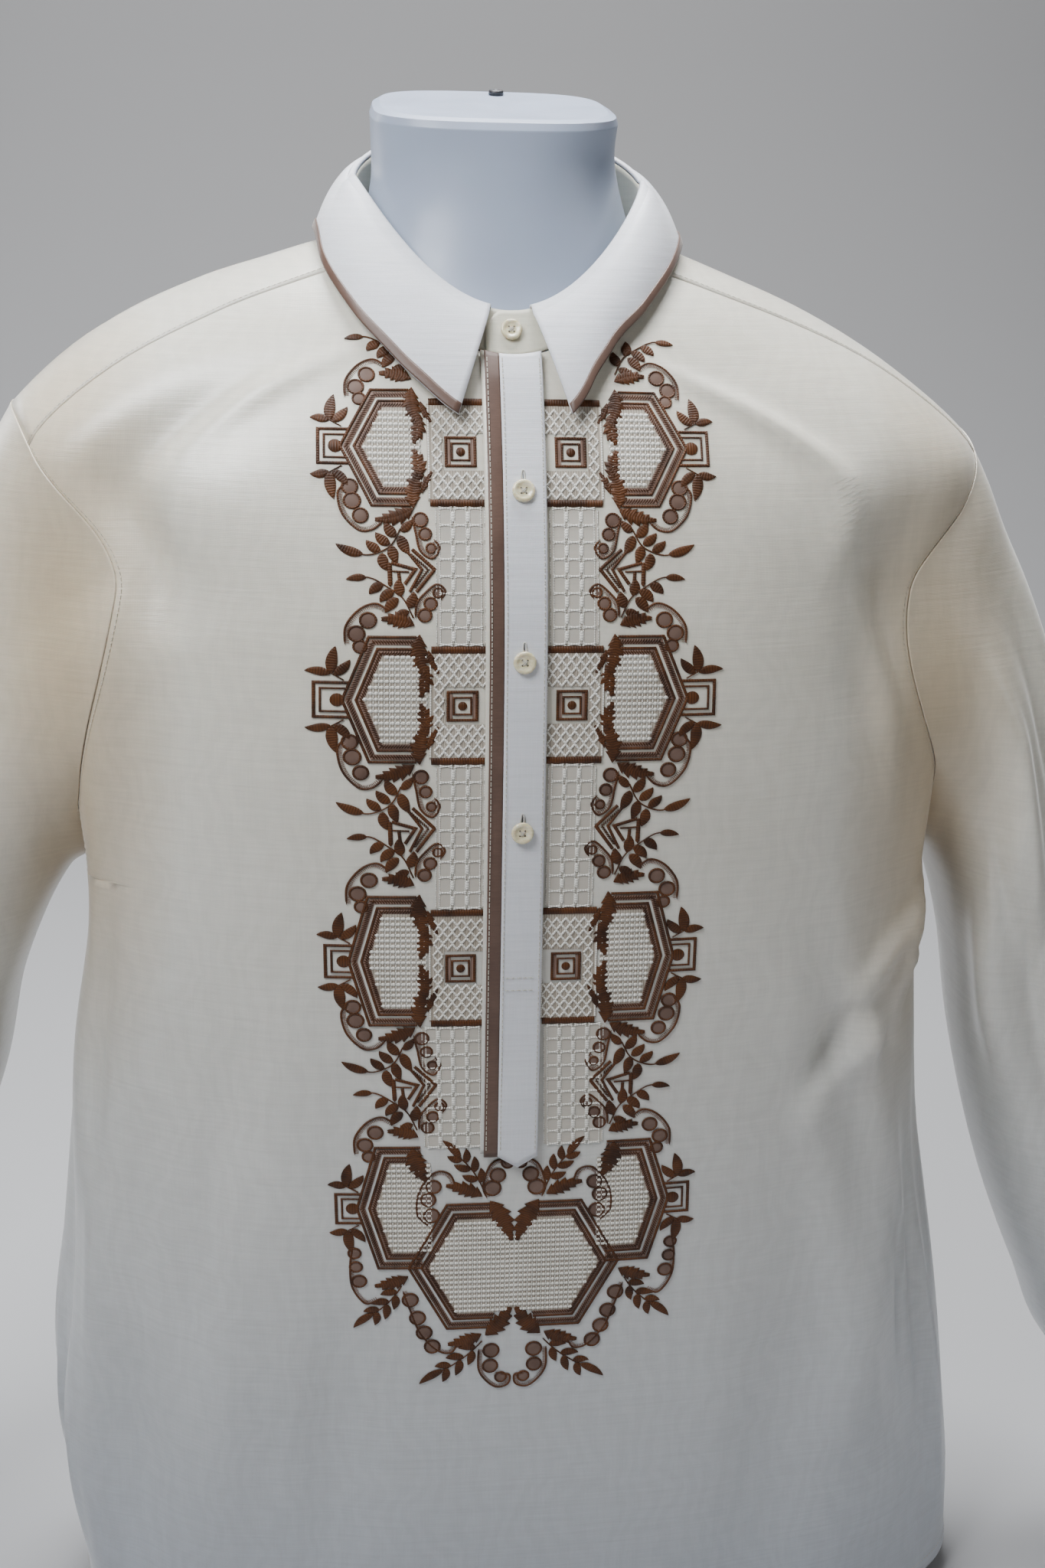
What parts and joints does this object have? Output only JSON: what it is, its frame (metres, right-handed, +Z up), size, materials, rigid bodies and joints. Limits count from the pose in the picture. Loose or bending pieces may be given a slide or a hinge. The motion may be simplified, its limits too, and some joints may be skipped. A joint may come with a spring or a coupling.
{
  "type": "barong tagalog shirt on a limbless dress form",
  "caption": "Sheer long-sleeved barong tagalog shirt with pointed collar, half-length placket and embroidered front, worn by a limbless dress form that stands on its flat base.",
  "frame": {"origin": "centre of the flat underside of the dress form's base", "axes": "+Z up, -Y out of the shirt's front, +X towards the wearer's left"},
  "size_m": [0.9663, 0.2709, 0.9123],
  "materials": {
    "cloth": "sheer ivory woven pineapple or silk cloth with a soft sheen",
    "collar_cloth": "white interlined cloth",
    "brown_satin": "dusty brown satin",
    "pearl": "pearly cream",
    "form_plastic": "smooth satin white",
    "dark_fitting": "satin dark"
  },
  "bodies": {
    "root": {"form_torso": "form_plastic", "form_stud": "dark_fitting", "front": "cloth", "back": "cloth", "yoke": "cloth", "sleeve_right": "cloth", "sleeve_left": "cloth", "cuff_right": "collar_cloth", "cuff_left": "collar_cloth", "button_cuff_right": "pearl", "button_cuff_left": "pearl", "placket_underlap": "cloth", "placket_stripe": "brown_satin", "placket": "collar_cloth", "collar_stand": "collar_cloth", "collar_fall": "collar_cloth", "collar_trim": "brown_satin", "button_upper": "pearl", "button_middle": "pearl", "button_lower": "pearl", "button_collar": "pearl"}
  },
  "joints": []
}
